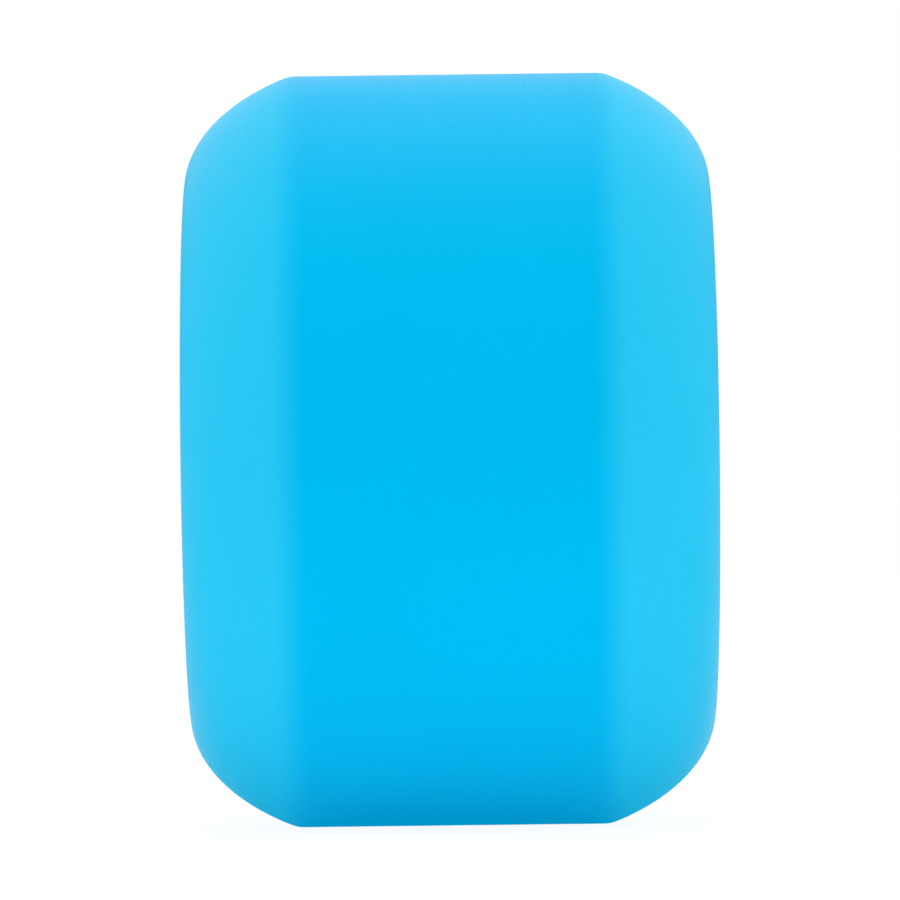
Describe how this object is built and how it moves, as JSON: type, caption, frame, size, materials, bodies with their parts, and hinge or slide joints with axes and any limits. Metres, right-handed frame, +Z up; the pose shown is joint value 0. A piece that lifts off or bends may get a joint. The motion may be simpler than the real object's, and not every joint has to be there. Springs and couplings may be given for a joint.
{
  "type": "skateboard wheel",
  "caption": "Soft cruiser skateboard wheel: a wide cast urethane tyre with a flat running band and rounded lips on a moulded core, with ball bearings and a spacer tube.",
  "frame": {"origin": "the wheel's centre, on the axle line midway between the two side rims", "axes": "+Y along the axle line, towards the right side; +Z up, so the wheel stands on its running band"},
  "size_m": [0.06, 0.0416, 0.06],
  "materials": {
    "urethane": "satin cast urethane with a turned running band",
    "core_nylon": "moulded white nylon",
    "race_steel": "ground bearing steel",
    "ball_steel": "polished bearing steel",
    "cage_nylon": "natural nylon",
    "seal_rubber": "matt black nitrile rubber",
    "shield_steel": "pressed sheet steel",
    "spring_steel": "hard drawn spring wire",
    "spacer_steel": "turned zinc-plated steel"
  },
  "bodies": {
    "axle_set": {"left_inner_race": "race_steel", "right_inner_race": "race_steel", "bearing_spacer": "spacer_steel"},
    "wheel": {"tyre": "urethane", "core": "core_nylon", "left_outer_race": "race_steel", "left_seal": "seal_rubber", "left_shield": "shield_steel", "left_snap_ring": "spring_steel", "right_outer_race": "race_steel", "right_seal": "seal_rubber", "right_shield": "shield_steel", "right_snap_ring": "spring_steel"},
    "left_cage": {"left_ball_cage": "cage_nylon"},
    "left_ball_1": {"left_ball_1": "ball_steel"},
    "left_ball_2": {"left_ball_2": "ball_steel"},
    "left_ball_3": {"left_ball_3": "ball_steel"},
    "left_ball_4": {"left_ball_4": "ball_steel"},
    "left_ball_5": {"left_ball_5": "ball_steel"},
    "left_ball_6": {"left_ball_6": "ball_steel"},
    "left_ball_7": {"left_ball_7": "ball_steel"},
    "right_cage": {"right_ball_cage": "cage_nylon"},
    "right_ball_1": {"right_ball_1": "ball_steel"},
    "right_ball_2": {"right_ball_2": "ball_steel"},
    "right_ball_3": {"right_ball_3": "ball_steel"},
    "right_ball_4": {"right_ball_4": "ball_steel"},
    "right_ball_5": {"right_ball_5": "ball_steel"},
    "right_ball_6": {"right_ball_6": "ball_steel"},
    "right_ball_7": {"right_ball_7": "ball_steel"}
  },
  "joints": [
    {"name": "wheel_spin", "type": "hinge", "parent": "axle_set", "child": "wheel", "pos_m": [0, 0, 0], "axis": [0, 1, 0], "continuous": true},
    {"name": "left_cage_spin", "type": "hinge", "parent": "axle_set", "child": "left_cage", "pos_m": [0, -0.0085, 0], "axis": [0, 1, 0], "continuous": true},
    {"name": "left_ball_1_roll", "type": "hinge", "parent": "left_cage", "child": "left_ball_1", "pos_m": [0, -0.0085, 0.0075], "axis": [0, 1, 0], "continuous": true},
    {"name": "left_ball_2_roll", "type": "hinge", "parent": "left_cage", "child": "left_ball_2", "pos_m": [-0.00586, -0.0085, 0.00468], "axis": [0, 1, 0], "continuous": true},
    {"name": "left_ball_3_roll", "type": "hinge", "parent": "left_cage", "child": "left_ball_3", "pos_m": [-0.00731, -0.0085, -0.00167], "axis": [0, 1, 0], "continuous": true},
    {"name": "left_ball_4_roll", "type": "hinge", "parent": "left_cage", "child": "left_ball_4", "pos_m": [-0.00325, -0.0085, -0.00676], "axis": [0, 1, 0], "continuous": true},
    {"name": "left_ball_5_roll", "type": "hinge", "parent": "left_cage", "child": "left_ball_5", "pos_m": [0.00325, -0.0085, -0.00676], "axis": [0, 1, 0], "continuous": true},
    {"name": "left_ball_6_roll", "type": "hinge", "parent": "left_cage", "child": "left_ball_6", "pos_m": [0.00731, -0.0085, -0.00167], "axis": [0, 1, 0], "continuous": true},
    {"name": "left_ball_7_roll", "type": "hinge", "parent": "left_cage", "child": "left_ball_7", "pos_m": [0.00586, -0.0085, 0.00468], "axis": [0, 1, 0], "continuous": true},
    {"name": "right_cage_spin", "type": "hinge", "parent": "axle_set", "child": "right_cage", "pos_m": [0, 0.0085, 0], "axis": [0, 1, 0], "continuous": true},
    {"name": "right_ball_1_roll", "type": "hinge", "parent": "right_cage", "child": "right_ball_1", "pos_m": [0, 0.0085, 0.0075], "axis": [0, 1, 0], "continuous": true},
    {"name": "right_ball_2_roll", "type": "hinge", "parent": "right_cage", "child": "right_ball_2", "pos_m": [0.00586, 0.0085, 0.00468], "axis": [0, 1, 0], "continuous": true},
    {"name": "right_ball_3_roll", "type": "hinge", "parent": "right_cage", "child": "right_ball_3", "pos_m": [0.00731, 0.0085, -0.00167], "axis": [0, 1, 0], "continuous": true},
    {"name": "right_ball_4_roll", "type": "hinge", "parent": "right_cage", "child": "right_ball_4", "pos_m": [0.00325, 0.0085, -0.00676], "axis": [0, 1, 0], "continuous": true},
    {"name": "right_ball_5_roll", "type": "hinge", "parent": "right_cage", "child": "right_ball_5", "pos_m": [-0.00325, 0.0085, -0.00676], "axis": [0, 1, 0], "continuous": true},
    {"name": "right_ball_6_roll", "type": "hinge", "parent": "right_cage", "child": "right_ball_6", "pos_m": [-0.00731, 0.0085, -0.00167], "axis": [0, 1, 0], "continuous": true},
    {"name": "right_ball_7_roll", "type": "hinge", "parent": "right_cage", "child": "right_ball_7", "pos_m": [-0.00586, 0.0085, 0.00468], "axis": [0, 1, 0], "continuous": true}
  ],
  "couplings": [
    {"joint": "left_cage_spin", "follows": "wheel_spin", "ratio": 0.6323},
    {"joint": "left_ball_1_roll", "follows": "wheel_spin", "ratio": 1.7573},
    {"joint": "left_ball_2_roll", "follows": "wheel_spin", "ratio": 1.7573},
    {"joint": "left_ball_3_roll", "follows": "wheel_spin", "ratio": 1.7573},
    {"joint": "left_ball_4_roll", "follows": "wheel_spin", "ratio": 1.7573},
    {"joint": "left_ball_5_roll", "follows": "wheel_spin", "ratio": 1.7573},
    {"joint": "left_ball_6_roll", "follows": "wheel_spin", "ratio": 1.7573},
    {"joint": "left_ball_7_roll", "follows": "wheel_spin", "ratio": 1.7573},
    {"joint": "right_cage_spin", "follows": "wheel_spin", "ratio": 0.6323},
    {"joint": "right_ball_1_roll", "follows": "wheel_spin", "ratio": 1.7573},
    {"joint": "right_ball_2_roll", "follows": "wheel_spin", "ratio": 1.7573},
    {"joint": "right_ball_3_roll", "follows": "wheel_spin", "ratio": 1.7573},
    {"joint": "right_ball_4_roll", "follows": "wheel_spin", "ratio": 1.7573},
    {"joint": "right_ball_5_roll", "follows": "wheel_spin", "ratio": 1.7573},
    {"joint": "right_ball_6_roll", "follows": "wheel_spin", "ratio": 1.7573},
    {"joint": "right_ball_7_roll", "follows": "wheel_spin", "ratio": 1.7573}
  ]
}
